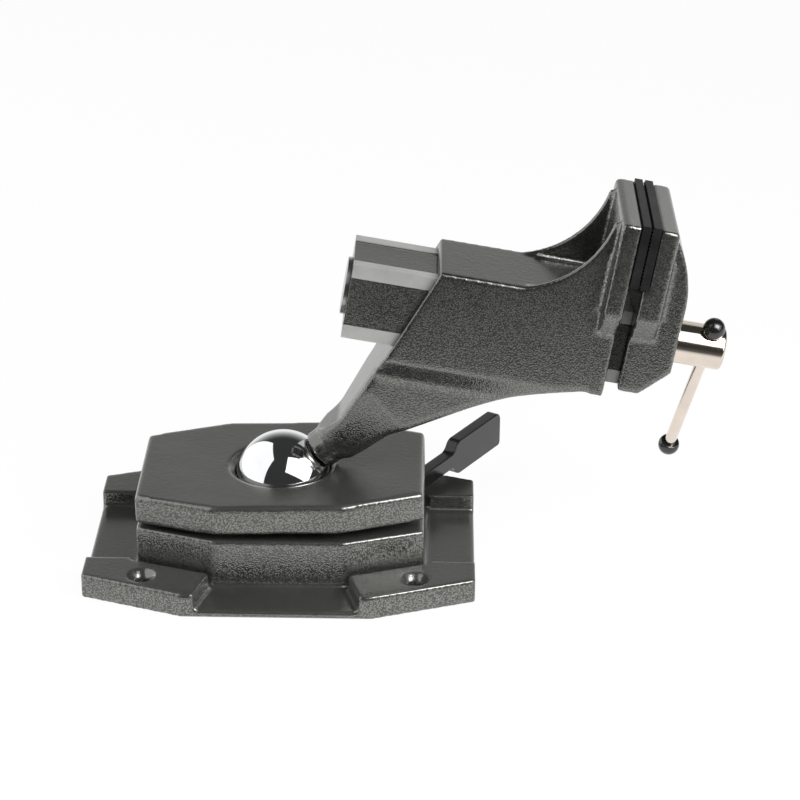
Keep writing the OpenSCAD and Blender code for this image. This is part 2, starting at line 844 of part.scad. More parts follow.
// The nut stands on the floor of the bar's channel, with its foot in the slot of the bar.
module spindle_nut() {
  color(brass) difference() {
    head_frame() translate([nut_rear, 0, 0]) {
      translate([0, 0, slide_z]) rod_x(nut_d, nut_l);
      translate([0, -nut_foot_w / 2, channel_floor]) cube([nut_l, nut_foot_w, slide_z - channel_floor]);
    }
    head_frame() translate([nut_rear - over, 0, slide_z]) rod_x(spindle_d + 2 * run, nut_l + 2 * over);
    nut_screw_holes();
  }
}

// A place for each screw of the nut, under the body.
module at_nut_screws() {
  head_frame() for (side = [-1, 1]) {
    translate([nut_mid + side * nut_screw_pitch / 2, 0, body_bottom]) children();
  }
}

module nut_screw_holes() {
  at_nut_screws() {
    cylinder(d = nut_screw_d, h = nut_screw_head_h + nut_screw_l);
    translate([0, 0, -body_down]) cylinder(d = nut_screw_head_d, h = body_down + nut_screw_head_h);
  }
}

module nut_screws() {
  color(steel) at_nut_screws() {
    cylinder(d = nut_screw_d, h = nut_screw_head_h + nut_screw_l);
    cylinder(d = nut_screw_head_d, h = nut_screw_head_h);
  }
}

// Side view of the boss in front of the moving jaw.
module boss_side() {
  low = slide_z - boss_down;
  intersection() {
    polygon([
      [front_jaw, low],
      [boss_front - boss_slope, low],
      [boss_front, low + boss_slope],
      [boss_front, jaw_top - jaw_edge],
      [front_jaw, jaw_top - jaw_edge]
    ]);
    union() {
      translate([boss_front - boss_r, slide_z + boss_curve_z]) circle(r = boss_r, $fn = 180);
      translate([front_jaw - over, low - over])
        square([boss_t + 2 * over, boss_down + boss_curve_z + over]);
    }
  }
}

// Front view of the moving jaw's step, from the boss's bottom up to the pad.
module jaw_heel() {
  low = slide_z - boss_down;
  intersection() {
    union() {
      jaw_front();
      translate([-body_w / 2, low]) square([body_w, boss_down + jaw_foot_z + eps]);
    }
    translate([-jaw_w, low]) square([2 * jaw_w, pad_low - low]);
  }
}

// Front view of the guide bar, with painted faces set back between its lands.
module bar_front() {
  difference() {
    square([bar_w, bar_h], center = true);
    for (side = [-1, 1]) {
      translate([0, side * bar_h / 2]) square([bar_w - 2 * land_w, 2 * land_step], center = true);
      translate([side * bar_w / 2, 0]) square([2 * land_step, bar_h - 2 * land_w], center = true);
    }
  }
}

module moving_jaw() {
  color(paint) head_frame() difference() {
    union() {
      translate([bar_rear, 0, slide_z]) along(front_jaw - bar_rear + over) bar_front();
      translate([front_jaw, 0, 0]) along(front_jaw_t) jaw_front();
      translate([front_jaw - pad_step, 0, 0]) along(pad_step + eps) jaw_heel();
      across(body_w) boss_side();
      coves(front_jaw + front_jaw_t, 1);
    }
    translate([front_jaw + front_jaw_t, 0, jaw_top]) mirror([1, 0, 0]) edge_cut();
    // Bore of the bar, and the spindle's bearing
    translate([bar_rear - over, 0, slide_z]) rod_x(bar_bore_d, bore_end - bar_rear + over);
    translate([0, 0, slide_z]) rod_x(spindle_d + 2 * run, boss_front + over);
    // Slot for the foot of the nut
    translate([reach_rear, -bar_slot_w / 2, slide_z - bar_h])
      cube([front_jaw - pad_step - reach_rear, bar_slot_w, bar_h]);
    // Pad screws
    for (side = [-1, 1]) translate([front_jaw - screw_face, side * pad_screw_y, pad_mid])
      mirror([1, 0, 0]) pad_screw_hole();
  }
}

module bar_end_cap() {
  color(steel) head_frame() translate([bar_rear, 0, slide_z]) {
    translate([-cap_t, 0, 0]) rod_x(cap_d, cap_t);
    rod_x(bar_bore_d - 2 * run, cap_spigot_l);
  }
}

module spindle() {
  color(chrome) difference() {
    head_frame() translate([0, 0, slide_z]) {
      translate([reach_rear, 0, 0]) rod_x(spindle_d, boss_front + over - reach_rear);
      translate([boss_front + 2 * run, 0, 0]) rod_x(spindle_head_d, spindle_head_l - 2 * run);
    }
    head_frame() translate([ring_x - run, 0, slide_z]) ring_cut();
    handle_frame() cylinder(r = handle_hole_r, h = 2 * spindle_head_d, center = true);
  }
}

// Groove of the retaining ring.
module ring_cut() {
  difference() {
    rod_x(2 * spindle_d, ring_t + 2 * run);
    translate([-over, 0, 0]) rod_x(spindle_d - 2 * ring_groove, ring_t + 2 * over);
  }
}

module spindle_retaining_ring() {
  color(steel) head_frame() translate([ring_x, 0, slide_z]) difference() {
    rod_x(ring_d, ring_t);
    translate([-over, 0, 0]) rod_x(spindle_d - 2 * ring_groove + 2 * run, ring_t + 2 * over);
  }
}

// The handle bar reaches into both knobs.
module handle_bar() {
  color(chrome) handle_frame() translate([0, 0, knob_up - handle_l - knob_bar_end])
    cylinder(d = handle_d, h = handle_l + 2 * knob_bar_end);
}

// One knob, with its flat end and its hole for the bar towards -Z.
module knob() {
  difference() {
    sphere(r = knob_r);
    translate([0, 0, -knob_flat - knob_r]) cube([knob_d, knob_d, knob_d], center = true);
    translate([0, 0, -knob_d]) cylinder(d = handle_d, h = knob_d + knob_bar_end);
  }
}

module handle_knob_upper() {
  color(black) handle_frame() translate([0, 0, knob_up]) knob();
}

module handle_knob_lower() {
  color(black) handle_frame() translate([0, 0, knob_up - handle_l]) mirror([0, 0, 1]) knob();
}

base_casting();
plate_hinge_pin();
clamp_plate();
clamp_stud();
clamp_nut();
clamp_lever();
clamp_washer();
lower_ball_seat();
ball();
ball_stud();
vise_body();
fixed_jaw_pad();
fixed_pad_screws();
spindle_nut();
nut_screws();
moving_jaw();
moving_jaw_pad();
moving_pad_screws();
bar_end_cap();
spindle();
spindle_retaining_ring();
handle_bar();
handle_knob_upper();
handle_knob_lower();
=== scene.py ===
import json
import math

import bpy
import numpy as np
from mathutils import Matrix, Vector


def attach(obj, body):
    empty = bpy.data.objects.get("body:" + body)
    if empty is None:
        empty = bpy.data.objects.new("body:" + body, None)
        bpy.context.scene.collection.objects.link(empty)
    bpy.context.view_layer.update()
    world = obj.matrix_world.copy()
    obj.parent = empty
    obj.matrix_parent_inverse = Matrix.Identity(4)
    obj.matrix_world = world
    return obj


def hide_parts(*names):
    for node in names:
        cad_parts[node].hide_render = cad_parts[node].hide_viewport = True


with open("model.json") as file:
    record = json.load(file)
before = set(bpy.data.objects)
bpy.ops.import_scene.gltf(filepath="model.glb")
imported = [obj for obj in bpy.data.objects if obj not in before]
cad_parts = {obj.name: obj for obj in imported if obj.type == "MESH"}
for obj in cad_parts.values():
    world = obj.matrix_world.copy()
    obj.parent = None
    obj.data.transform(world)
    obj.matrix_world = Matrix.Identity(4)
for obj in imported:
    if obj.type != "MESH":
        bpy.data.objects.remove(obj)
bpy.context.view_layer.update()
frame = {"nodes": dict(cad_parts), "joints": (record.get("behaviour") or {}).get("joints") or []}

nodes = frame["nodes"]
joints = {joint["name"]: joint for joint in frame["joints"]}
scene = bpy.context.scene
mm = 0.001


# helpers for picking and shaping
def pick(piece):
    bpy.ops.object.select_all(action="DESELECT")
    piece.select_set(True)
    bpy.context.view_layer.objects.active = piece


def editAll(piece):
    pick(piece)
    bpy.ops.object.mode_set(mode="EDIT")
    bpy.ops.mesh.select_all(action="SELECT")


def leaveEdit():
    bpy.ops.object.mode_set(mode="OBJECT")


def applyModifier(piece, kind, **settings):
    modifier = piece.modifiers.new(kind.lower(), kind)
    for name, value in settings.items():
        setattr(modifier, name, value)
    pick(piece)
    bpy.ops.object.modifier_apply(modifier=modifier.name)


def copyOfNode(nodeName, pieceName):
    piece = bpy.data.objects.new(pieceName, nodes[nodeName].data.copy())
    piece.data.name = pieceName
    piece.data.materials.clear()
    scene.collection.objects.link(piece)
    editAll(piece)
    bpy.ops.mesh.remove_doubles(threshold=1e-6)
    bpy.ops.mesh.customdata_custom_splitnormals_clear()
    leaveEdit()
    return piece


smoothMargin = 7        # degrees past the bevelled angle that are still shaded smooth
sameFlat = math.radians(1)
hair = 0.02 * mm        # two places this near are the same


def softenEdges(piece, width, segments=3, angle=28):
    applyModifier(piece, "BEVEL", width=width, segments=segments, limit_method="ANGLE",
                  angle_limit=math.radians(angle), use_clamp_overlap=True)
    pick(piece)
    bpy.ops.object.shade_smooth_by_angle(angle=math.radians(angle + smoothMargin))
    applyModifier(piece, "WEIGHTED_NORMAL", keep_sharp=True)    # large faces stay flat
    applyModifier(piece, "TRIANGULATE", min_vertices=5, keep_custom_normals=True)


def dissolveFlats(piece):
    editAll(piece)
    bpy.ops.mesh.dissolve_limited(angle_limit=sameFlat)
    leaveEdit()


# rounds the edges whose two ends pass the test
def bevelWanted(piece, radius, segments, wanted):
    editAll(piece)
    bpy.ops.mesh.select_mode(type="EDGE")
    bpy.ops.mesh.select_all(action="DESELECT")
    leaveEdit()
    for edge in piece.data.edges:
        edge.select = wanted(*(piece.data.vertices[k].co for k in edge.vertices))
    bpy.ops.object.mode_set(mode="EDIT")
    bpy.ops.mesh.bevel(offset=radius, segments=segments, affect="EDGES")
    leaveEdit()


def place(piece, matrix):
    piece.matrix_world = matrix @ piece.matrix_world
    pick(piece)
    bpy.ops.object.transform_apply(location=True, rotation=True, scale=True)


def handOver(piece, body, slot, material, *replaced):
    piece.data.materials.clear()
    piece.data.materials.append(material)
    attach(piece, body)
    if replaced:
        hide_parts(*replaced)


# frames of the vise, read from its joints
ballCentre = Vector(joints["ball_tilt"]["pos_m"])
slideAxis = Vector(joints["jaw_slide"]["axis"]).normalized()
acrossAxis = Vector((0, 1, 0))
slideUp = slideAxis.cross(acrossAxis).normalized()
neckAxis = Vector(joints["head_turn"]["axis"]).normalized()
handleAxis = Vector(joints["handle_slide"]["axis"]).normalized()


def frameOf(xAxis, yAxis, zAxis, origin):
    turn = Matrix((xAxis, yAxis, zAxis)).transposed().to_4x4()
    return Matrix.Translation(origin) @ turn


headFrame = frameOf(slideAxis, acrossAxis, slideUp, ballCentre)
neckFrame = frameOf(acrossAxis.cross(neckAxis), acrossAxis, neckAxis, ballCentre)
handleFrame = frameOf(slideAxis, handleAxis.cross(slideAxis), handleAxis, ballCentre)


def boxIn(nodeName, matrix):
    inverse = matrix.inverted()
    points = [inverse @ vertex.co for vertex in nodes[nodeName].data.vertices]
    low = Vector([min(point[k] for point in points) for k in range(3)])
    high = Vector([max(point[k] for point in points) for k in range(3)])
    return low, high


print("frames read")

# camera of the photo
cameraView = {
    "lens": 119.91,
    "sensor": 36.0,
    "elevation": 24.53,
    "yaw": -0.77,
    "roll": 0.40,
    "target": (51.98 * mm, 0.0, 74.11 * mm),
    "distance": 1178.22 * mm,
    "clip": (0.02, 30),
}


def addCamera(view):
    tilt, yaw, roll = (math.radians(view[name]) for name in ("elevation", "yaw", "roll"))
    level = math.cos(tilt)
    forward = Vector((math.sin(yaw) * level, math.cos(yaw) * level, -math.sin(tilt)))
    level = Vector((math.cos(yaw), -math.sin(yaw), 0))
    upright = level.cross(forward)
    right = level * math.cos(roll) + upright * math.sin(roll)
    up = upright * math.cos(roll) - level * math.sin(roll)
    camera = bpy.data.objects.new("camera", bpy.data.cameras.new("camera"))
    scene.collection.objects.link(camera)
    camera.data.lens = view["lens"]
    camera.data.sensor_width = view["sensor"]
    camera.data.clip_start, camera.data.clip_end = view["clip"]
    eye = Vector(view["target"]) - forward * view["distance"]
    camera.matrix_world = frameOf(right, up, -forward, eye)
    scene.camera = camera


addCamera(cameraView)
print("camera set")


# one material's node tree
class Finish:
    def __init__(self, name):
        self.material = bpy.data.materials.new(name)
        self.material.use_nodes = True
        self.tree = self.material.node_tree
        self.shader = self.tree.nodes["Principled BSDF"]
        self.coords = self.add("ShaderNodeTexCoord").outputs["Object"]

    def add(self, kind, **settings):
        node = self.tree.nodes.new(kind)
        for name, value in settings.items():
            setattr(node, name, value)
        return node

    def link(self, source, target):
        self.tree.links.new(source, target)

    def noise(self, scale, detail=2.0, roughness=0.5, coords=None):
        node = self.add("ShaderNodeTexNoise")
        node.inputs["Scale"].default_value = scale
        node.inputs["Detail"].default_value = detail
        node.inputs["Roughness"].default_value = roughness
        self.link(coords or self.coords, node.inputs["Vector"])
        return node.outputs["Fac"]

    def stretched(self, scale):
        node = self.add("ShaderNodeMapping")
        node.inputs["Scale"].default_value = scale
        self.link(self.coords, node.inputs["Vector"])
        return node.outputs["Vector"]

    def ramp(self, source, stops):
        node = self.add("ShaderNodeValToRGB")
        while len(node.color_ramp.elements) < len(stops):
            node.color_ramp.elements.new(0.5)
        for element, (at, colour) in zip(node.color_ramp.elements, stops):
            element.position = at
            element.color = (*colour, 1) if len(colour) == 3 else colour
        self.link(source, node.inputs["Fac"])
        return node.outputs["Color"]

    def span(self, source, low, high, fromLow=0.0, fromHigh=1.0):
        node = self.add("ShaderNodeMapRange")
        node.inputs["From Min"].default_value = fromLow
        node.inputs["From Max"].default_value = fromHigh
        node.inputs["To Min"].default_value = low
        node.inputs["To Max"].default_value = high
        self.link(source, node.inputs["Value"])
        return node.outputs["Result"]

    def bump(self, height, strength, distance, under=None):
        node = self.add("ShaderNodeBump")
        node.inputs["Strength"].default_value = strength
        node.inputs["Distance"].default_value = distance
        self.link(height, node.inputs["Height"])
        if under:
            self.link(under, node.inputs["Normal"])
        return node.outputs["Normal"]

    def set(self, **values):
        for name, value in values.items():
            socket = self.shader.inputs[name.replace("_", " ")]
            if hasattr(value, "is_linked"):
                self.link(value, socket)
            else:
                socket.default_value = value
        return self.material


hammerLook = {
    "crease": (0.127, 0.128, 0.119),
    "crown": (0.272, 0.274, 0.257),
    "top": (0.190, 0.194, 0.182),
    "cell": 0.76 * mm,      # width of one fine cell
    "cellDepth": 0.09 * mm,
    "cellReach": 0.75,      # how far from its middle a cell falls to nothing
    "cellStops": (0.22, 0.52),      # heights where crease ends and crown begins
    "levelled": 0.3,        # share of the depth on the tops, where the paint has run smooth
    "dimple": 2.1 * mm,     # width of one hammer dimple
    "dimpleDepth": 0.05 * mm,
    "roughness": (0.16, 0.24),
    "metallic": 0.80,
    "cloud": 45,            # slow change of tone over the casting
    "cloudStops": (0.3, 0.7),
    "cloudShade": 0.92,
}
headLook = {
    **hammerLook,
    "crease": (0.150, 0.151, 0.142),
    "crown": (0.247, 0.249, 0.235),
    "top": (0.172, 0.176, 0.166),
    "cellDepth": 0.07 * mm,
    "metallic": 0.92,
}
# painted shade: the head paint darkened for the bar where it lies in the gap between the jaws
gapShadeLook = {
    **headLook,
    "crease": (0.040, 0.040, 0.038),
    "crown": (0.070, 0.070, 0.067),
    "top": (0.050, 0.050, 0.048),
}
topAttribute = "paintTops"
topSlope = (0.15, 0.50)     # upward share of a normal where paint begins to level and is level


def hammerPaint(name, look):
    finish = Finish(name)
    cells = finish.add("ShaderNodeTexVoronoi", feature="F1")
    cells.inputs["Scale"].default_value = 1 / look["cell"]
    finish.link(finish.coords, cells.inputs["Vector"])
    grain = finish.span(cells.outputs["Distance"], 1.0, 0.0, 0.0, look["cellReach"])
    tops = finish.add("ShaderNodeAttribute", attribute_name=topAttribute).outputs["Fac"]
    height = finish.add("ShaderNodeMath", operation="MULTIPLY")
    finish.link(grain, height.inputs[0])
    finish.link(finish.span(tops, 1.0, look["levelled"]), height.inputs[1])
    dimples = finish.noise(1 / look["dimple"], 1.0)
    cloud = finish.noise(look["cloud"], 3.0)
    shades = [(look["cloudShade"],) * 3, (1, 1, 1)]
    speckled = finish.add("ShaderNodeMix", data_type="RGBA")
    finish.link(tops, speckled.inputs["Factor"])
    tones = zip(look["cellStops"], (look["crease"], look["crown"]))
    finish.link(finish.ramp(grain, list(tones)), speckled.inputs["A"])
    speckled.inputs["B"].default_value = (*look["top"], 1)
    clouded = finish.add("ShaderNodeMix", data_type="RGBA", blend_type="MULTIPLY")
    clouded.inputs["Factor"].default_value = 1.0
    finish.link(speckled.outputs["Result"], clouded.inputs["A"])
    clouds = list(zip(look["cloudStops"], shades))
    finish.link(finish.ramp(cloud, clouds), clouded.inputs["B"])
    hammered = finish.bump(dimples, 1.0, look["dimpleDepth"])
    return finish.set(
        Base_Color=clouded.outputs["Result"],
        Roughness=finish.span(cloud, *look["roughness"], *look["cloudStops"]),
        Normal=finish.bump(height.outputs[0], 1.0, look["cellDepth"], hammered),
        Metallic=look["metallic"],
    )


# marks how far each point of a casting faces up
def markTops(piece):
    normals = np.empty(len(piece.data.loops) * 3)
    piece.data.corner_normals.foreach_get("vector", normals)
    tops = piece.data.attributes.new(topAttribute, "FLOAT", "CORNER")
    start, level = topSlope
    tops.data.foreach_set("value", np.clip((normals[2::3] - start) / (level - start), 0, 1))


metalLooks = {
    "ballChrome": {
        "colour": (0.80, 0.81, 0.82), "dull": (0.70, 0.71, 0.73),
        "roughness": (0.03, 0.07), "scratch": 0.02, "metallic": 1.0,
    },
    "nickelPlate": {
        "colour": (0.80, 0.71, 0.63), "dull": (0.70, 0.61, 0.53),
        "roughness": (0.08, 0.14), "scratch": 0.03, "metallic": 1.0,
    },
    "machinedLand": {
        "colour": (0.56, 0.56, 0.54), "dull": (0.45, 0.45, 0.43),
        "roughness": (0.30, 0.42), "scratch": 0.10, "metallic": 0.6,
    },
    # painted shade: the machined land darkened where the bar lies in the gap between the jaws
    "gapShadedLand": {
        "colour": (0.24, 0.24, 0.23), "dull": (0.18, 0.18, 0.17),
        "roughness": (0.30, 0.42), "scratch": 0.10, "metallic": 0.6,
    },
    "turnedSteel": {
        "colour": (0.55, 0.55, 0.55), "dull": (0.38, 0.38, 0.38),
        "roughness": (0.25, 0.40), "scratch": 0.08, "metallic": 1.0,
    },
    "seatBronze": {
        "colour": (0.62, 0.44, 0.20), "dull": (0.42, 0.29, 0.13),
        "roughness": (0.25, 0.40), "scratch": 0.08, "metallic": 1.0,
    },
}
metalGrain = {
    "cloud": 60,
    "cloudStops": (0.25, 0.65),
    "lines": (60, 900, 900),    # drawn out along x
    "lineStops": (0.25, 0.75),
    "lineDepth": 0.05 * mm,
}


def brightMetal(name, look, grain):
    finish = Finish(name)
    cloud = finish.noise(grain["cloud"], 4.0, 0.6)
    lines = finish.noise(1.0, 3.0, 0.6, finish.stretched(grain["lines"]))
    tones = list(zip(grain["cloudStops"], (look["dull"], look["colour"])))
    return finish.set(
        Base_Color=finish.ramp(cloud, tones),
        Metallic=look["metallic"],
        Roughness=finish.span(lines, *look["roughness"], *grain["lineStops"]),
        Normal=finish.bump(lines, look["scratch"], grain["lineDepth"]),
    )


blackLooks = {
    "leverPaint": {
        "dark": (0.008, 0.008, 0.008), "light": (0.018, 0.018, 0.017),
        "roughness": (0.16, 0.26), "grain": 500, "strength": 0.05, "gloss": 0.5,
    },
    "padSteel": {
        "dark": (0.006, 0.006, 0.006), "light": (0.014, 0.014, 0.014),
        "roughness": (0.38, 0.52), "grain": 1800, "strength": 0.25, "gloss": 0.15,
    },
    "knobPlastic": {
        "dark": (0.006, 0.006, 0.006), "light": (0.012, 0.012, 0.012),
        "roughness": (0.04, 0.08), "grain": 900, "strength": 0.02, "gloss": 0.8,
    },
}
blackGrain = {"cloud": 80, "stops": (0.3, 0.7), "depth": 0.1 * mm}


def blackFinish(name, look, spread):
    finish = Finish(name)
    grain = finish.noise(look["grain"], 3.0, 0.6)
    cloud = finish.noise(spread["cloud"], 3.0)
    tones = list(zip(spread["stops"], (look["dark"], look["light"])))
    return finish.set(
        Base_Color=finish.ramp(cloud, tones),
        Roughness=finish.span(grain, *look["roughness"], *spread["stops"]),
        Normal=finish.bump(grain, look["strength"], spread["depth"]),
        Specular_IOR_Level=look["gloss"],
    )


paints = {
    "base": hammerPaint("hammerPaintBase", hammerLook),
    "head": hammerPaint("hammerPaintHead", headLook),
    "gapShade": hammerPaint("hammerPaintGapShade", gapShadeLook),
}
metals = {name: brightMetal(name, look, metalGrain) for name, look in metalLooks.items()}
blacks = {name: blackFinish(name, look, blackGrain) for name, look in blackLooks.items()}
print("materials made")

# castings: the CAD shape with cast roundings in every edge and corner
castings = {
    "baseCasting": {
        "node": "base_casting", "body": "base", "paint": "base",
        "voxel": 1.0 * mm, "rounds": 3, "edge": 1.7 * mm,
    },
    "clampPlate": {
        "node": "clamp_plate", "body": "clamp_plate", "paint": "base",
        "voxel": 0.8 * mm, "rounds": 3, "edge": 2.6 * mm,
    },
    "viseBody": {
        "node": "vise_body", "body": "head", "paint": "head",
        "voxel": 0.85 * mm, "rounds": 3, "edge": 2.0 * mm,
        "neckEdge": 4.5 * mm, "jawTopEdge": 1.8 * mm,
    },
}
toHead = headFrame.inverted()
jawTop = boxIn("vise_body", headFrame)[1].z
bodyBottom = boxIn("nut_screws", headFrame)[0].z
padsFrom = boxIn("fixed_jaw_pad", headFrame)[0].x
padsTo = boxIn("moving_jaw_pad", headFrame)[1].x
edgeAngle = math.radians(25)
shortestEdge = 3 * mm       # holes and ribs keep their crisp rims
jawEnds = {
    "band": 3 * mm,         # how far below the jaws' tops an edge still counts as theirs
    "side": 4 * mm,         # the same for the sides that give the jaws' width
    "byPads": 2 * mm,
    "setBack": 0.2 * mm,    # how far the tops stay back from the jaws' ends
}


def longEdges(nodeName):
    trial = copyOfNode(nodeName, "edgeTrial")
    dissolveFlats(trial)
    editAll(trial)
    bpy.ops.mesh.select_mode(type="EDGE")
    bpy.ops.mesh.select_all(action="DESELECT")
    bpy.ops.mesh.edges_select_sharp(sharpness=edgeAngle)
    leaveEdit()
    corners = [vertex.co.copy() for vertex in trial.data.vertices]
    pairs = [[corners[k] for k in edge.vertices] for edge in trial.data.edges if edge.select]
    bpy.data.meshes.remove(trial.data)
    return [(np.array(a), np.array(b)) for a, b in pairs if (b - a).length > shortestEdge]


# the head's edges: wide roundings at the neck and along the jaws' outer tops,
# crisp ones by the pads and at the jaws' ends
def edgeWidth(a, b, look):
    if "jawTopEdge" not in look:
        return look["edge"]
    first, last = (toHead @ Vector(end) for end in (a, b))
    if max(first.z, last.z) < bodyBottom:
        return look.get("neckEdge", look["edge"])
    if min(first.z, last.z) > jawTop - jawEnds["band"]:
        byPads = padsFrom - jawEnds["byPads"] < first.x < padsTo + jawEnds["byPads"]
        across = abs(first.y - last.y) > abs(first.x - last.x)
        return look["jawTopEdge"] if across and not byPads else 0
    return look["edge"]


def roundAlong(piece, edges, width, voxel):
    points = np.array([vertex.co for vertex in piece.data.vertices])
    distance = np.full(len(points), 2 * width)
    for a, b in edges:
        share = np.clip((points - a) @ (b - a) / ((b - a) @ (b - a)), 0, 1)
        away = points - a - share[:, None] * (b - a)
        distance = np.minimum(distance, np.linalg.norm(away, axis=1))
    weights = np.clip(2 - 2 * distance / width, 0, 1)
    group = piece.vertex_groups.new(name="castEdges")
    for k in np.nonzero(weights)[0]:
        group.add([int(k)], weights[k], "REPLACE")
    times = round(2 * (width / voxel) ** 2)
    applyModifier(piece, "SMOOTH", factor=0.5, iterations=times, vertex_group=group.name)
    piece.vertex_groups.clear()


def roundLikeCasting(piece, nodeName, look):
    applyModifier(piece, "REMESH", mode="VOXEL", voxel_size=look["voxel"], use_smooth_shade=True)
    edges = longEdges(nodeName)
    for width in sorted({edgeWidth(a, b, look) for a, b in edges} - {0}):
        chosen = [(a, b) for a, b in edges if edgeWidth(a, b, look) == width]
        roundAlong(piece, chosen, width, look["voxel"])
    applyModifier(piece, "SMOOTH", factor=0.5, iterations=look["rounds"])
    pick(piece)
    bpy.ops.object.shade_smooth()
    markTops(piece)


# the jaws' tops run out to a crisp edge
def squareJawTop(piece):
    points = [toHead @ vertex.co for vertex in piece.data.vertices]
    onTop = [k for k, point in enumerate(points) if point.z > jawTop - hair]
    topHalf = max(abs(points[k].y) for k in onTop)
    half = max(abs(point.y) for point in points if point.z > jawTop - jawEnds["side"])
    for k in onTop:
        if abs(points[k].y) > topHalf - hair:
            points[k].y = math.copysign(half - jawEnds["setBack"], points[k].y)
            piece.data.vertices[k].co = headFrame @ points[k]


for pieceName, spec in castings.items():
    casting = copyOfNode(spec["node"], pieceName)
    if "jawTopEdge" in spec:
        squareJawTop(casting)
    roundLikeCasting(casting, spec["node"], spec)
    handOver(casting, spec["body"], "hammer_paint", paints[spec["paint"]], spec["node"])
print("castings made")

# moving jaw and guide bar: one CAD node, two pieces with their own finish
jawLook = {
    "voxel": 0.8 * mm, "rounds": 3, "edge": 2.0 * mm, "jawTopEdge": 1.8 * mm,
    "seam": 0.05 * mm,      # the cut lies this far behind the heel
    "wider": 1 * mm,        # what counts as wider than the bar
    "cutTolerance": 1e-7,
}
barLook = {
    "edge": 0.35 * mm,
    "landDepth": 0.45 * mm,
    "gapShade": 9 * mm,      # painted shade on the bar's stretch next to the jaw, which lies in the gap between the jaws
}


# the bar's rear end gives its width, and the jaw begins where the casting is wider
def rearOfHeel(look):
    points = [toHead @ vertex.co for vertex in nodes["moving_jaw"].data.vertices]
    rear = min(point.x for point in points)
    barHalf = max(abs(point.y) for point in points if point.x < rear + look["wider"])
    return min(point.x for point in points if abs(point.y) > barHalf + look["wider"])


seamAt = rearOfHeel(jawLook) - jawLook["seam"]


def cutAcross(piece, at, keepFront):
    editAll(piece)
    bpy.ops.mesh.bisect(plane_co=headFrame @ Vector((at, 0, 0)), plane_no=slideAxis, use_fill=True,
                        clear_inner=keepFront, clear_outer=not keepFront,
                        threshold=jawLook["cutTolerance"])
    leaveEdit()


movingJaw = copyOfNode("moving_jaw", "movingJaw")
cutAcross(movingJaw, seamAt, keepFront=True)
squareJawTop(movingJaw)
roundLikeCasting(movingJaw, "moving_jaw", jawLook)
handOver(movingJaw, "moving_jaw", "hammer_paint", paints["head"], "moving_jaw")


def makeGuideBar(look):
    bar = copyOfNode("moving_jaw", "guideBar")
    cutAcross(bar, seamAt, keepFront=False)
    dissolveFlats(bar)
    # painted shade: the bar's stretch just behind the jaw gets darkened paint and lands
    gapShadeFrom = seamAt - look["gapShade"]
    editAll(bar)
    bpy.ops.mesh.bisect(plane_co=headFrame @ Vector((gapShadeFrom, 0, 0)), plane_no=slideAxis)
    leaveEdit()
    softenEdges(bar, look["edge"], segments=2)
    handOver(bar, "moving_jaw", "hammer_paint", paints["head"], "moving_jaw")
    for material in (metals["machinedLand"], paints["gapShade"], metals["gapShadedLand"]):
        bar.data.materials.append(material)
    markTops(bar)
    # the lands are the outermost faces, all but the rear end
    points = [toHead @ vertex.co for vertex in bar.data.vertices]
    outerY = max(point.y for point in points)
    outerZ = max(point.z for point in points)
    middleZ = (outerZ + min(point.z for point in points)) / 2
    for face in bar.data.polygons:
        centre = toHead @ face.center
        outside = max(abs(centre.y) - outerY, abs(centre.z - middleZ) - (outerZ - middleZ))
        atEnd = face.normal.dot(slideAxis) < -0.5
        onLand = outside > -look["landDepth"] and not atEnd
        # faces on the painted-shade stretch take the darkened materials
        face.material_index = onLand + 2 * (centre.x > gapShadeFrom)


makeGuideBar(barLook)
print("moving jaw made")

# ball: a sphere with the flat that faces the neck
ballLook = {"segments": 128, "rings": 64, "flat": 0.6 * mm, "crispAngle": 20}
ballRadius = boxIn("ball", Matrix.Translation(ballCentre))[1].y
bpy.ops.object.select_all(action="DESELECT")
bpy.ops.mesh.primitive_uv_sphere_add(segments=ballLook["segments"], ring_count=ballLook["rings"],
                                     radius=ballRadius)
ball = bpy.context.active_object
ball.name = "ballChromed"
editAll(ball)
bpy.ops.mesh.bisect(plane_co=(0, 0, ballRadius - ballLook["flat"]), plane_no=(0, 0, 1),
                    use_fill=True, clear_outer=True)
leaveEdit()
place(ball, neckFrame)
pick(ball)
bpy.ops.object.shade_smooth_by_angle(angle=math.radians(ballLook["crispAngle"]))
handOver(ball, "ball", "ball_chrome", metals["ballChrome"], "ball")
print("ball made")

# turned and pressed pieces: the CAD shape with its edges broken
edgedPieces = {
    "spindleTurned": {
        "node": "spindle", "body": "spindle",
        "slot": "nickel", "finish": "nickelPlate", "edge": 0.6 * mm,
    },
    "tommyBar": {
        "node": "handle_bar", "body": "handle",
        "slot": "nickel", "finish": "nickelPlate", "edge": 0.5 * mm,
    },
    "barEndCap": {
        "node": "bar_end_cap", "body": "moving_jaw",
        "slot": "plain_steel", "finish": "turnedSteel", "edge": 0.5 * mm,
    },
    "fixedPad": {
        "node": "fixed_jaw_pad", "body": "head",
        "slot": "black_steel", "finish": "padSteel", "edge": 0.25 * mm,
    },
    "movingPad": {
        "node": "moving_jaw_pad", "body": "moving_jaw",
        "slot": "black_steel", "finish": "padSteel", "edge": 0.25 * mm,
    },
}
# the spindle's outer end
endLook = {"round": 1.5 * mm, "segments": 5, "shorter": 1.2 * mm, "within": 0.05 * mm}


def roundSpindleEnd(piece, look):
    end = max((toHead @ vertex.co).x for vertex in piece.data.vertices) - look["shorter"]
    for vertex in piece.data.vertices:
        if (toHead @ vertex.co).x > end:
            vertex.co -= slideAxis * look["shorter"]
    bevelWanted(piece, look["round"], look["segments"],
                lambda a, b: min((toHead @ a).x, (toHead @ b).x) > end - look["within"])


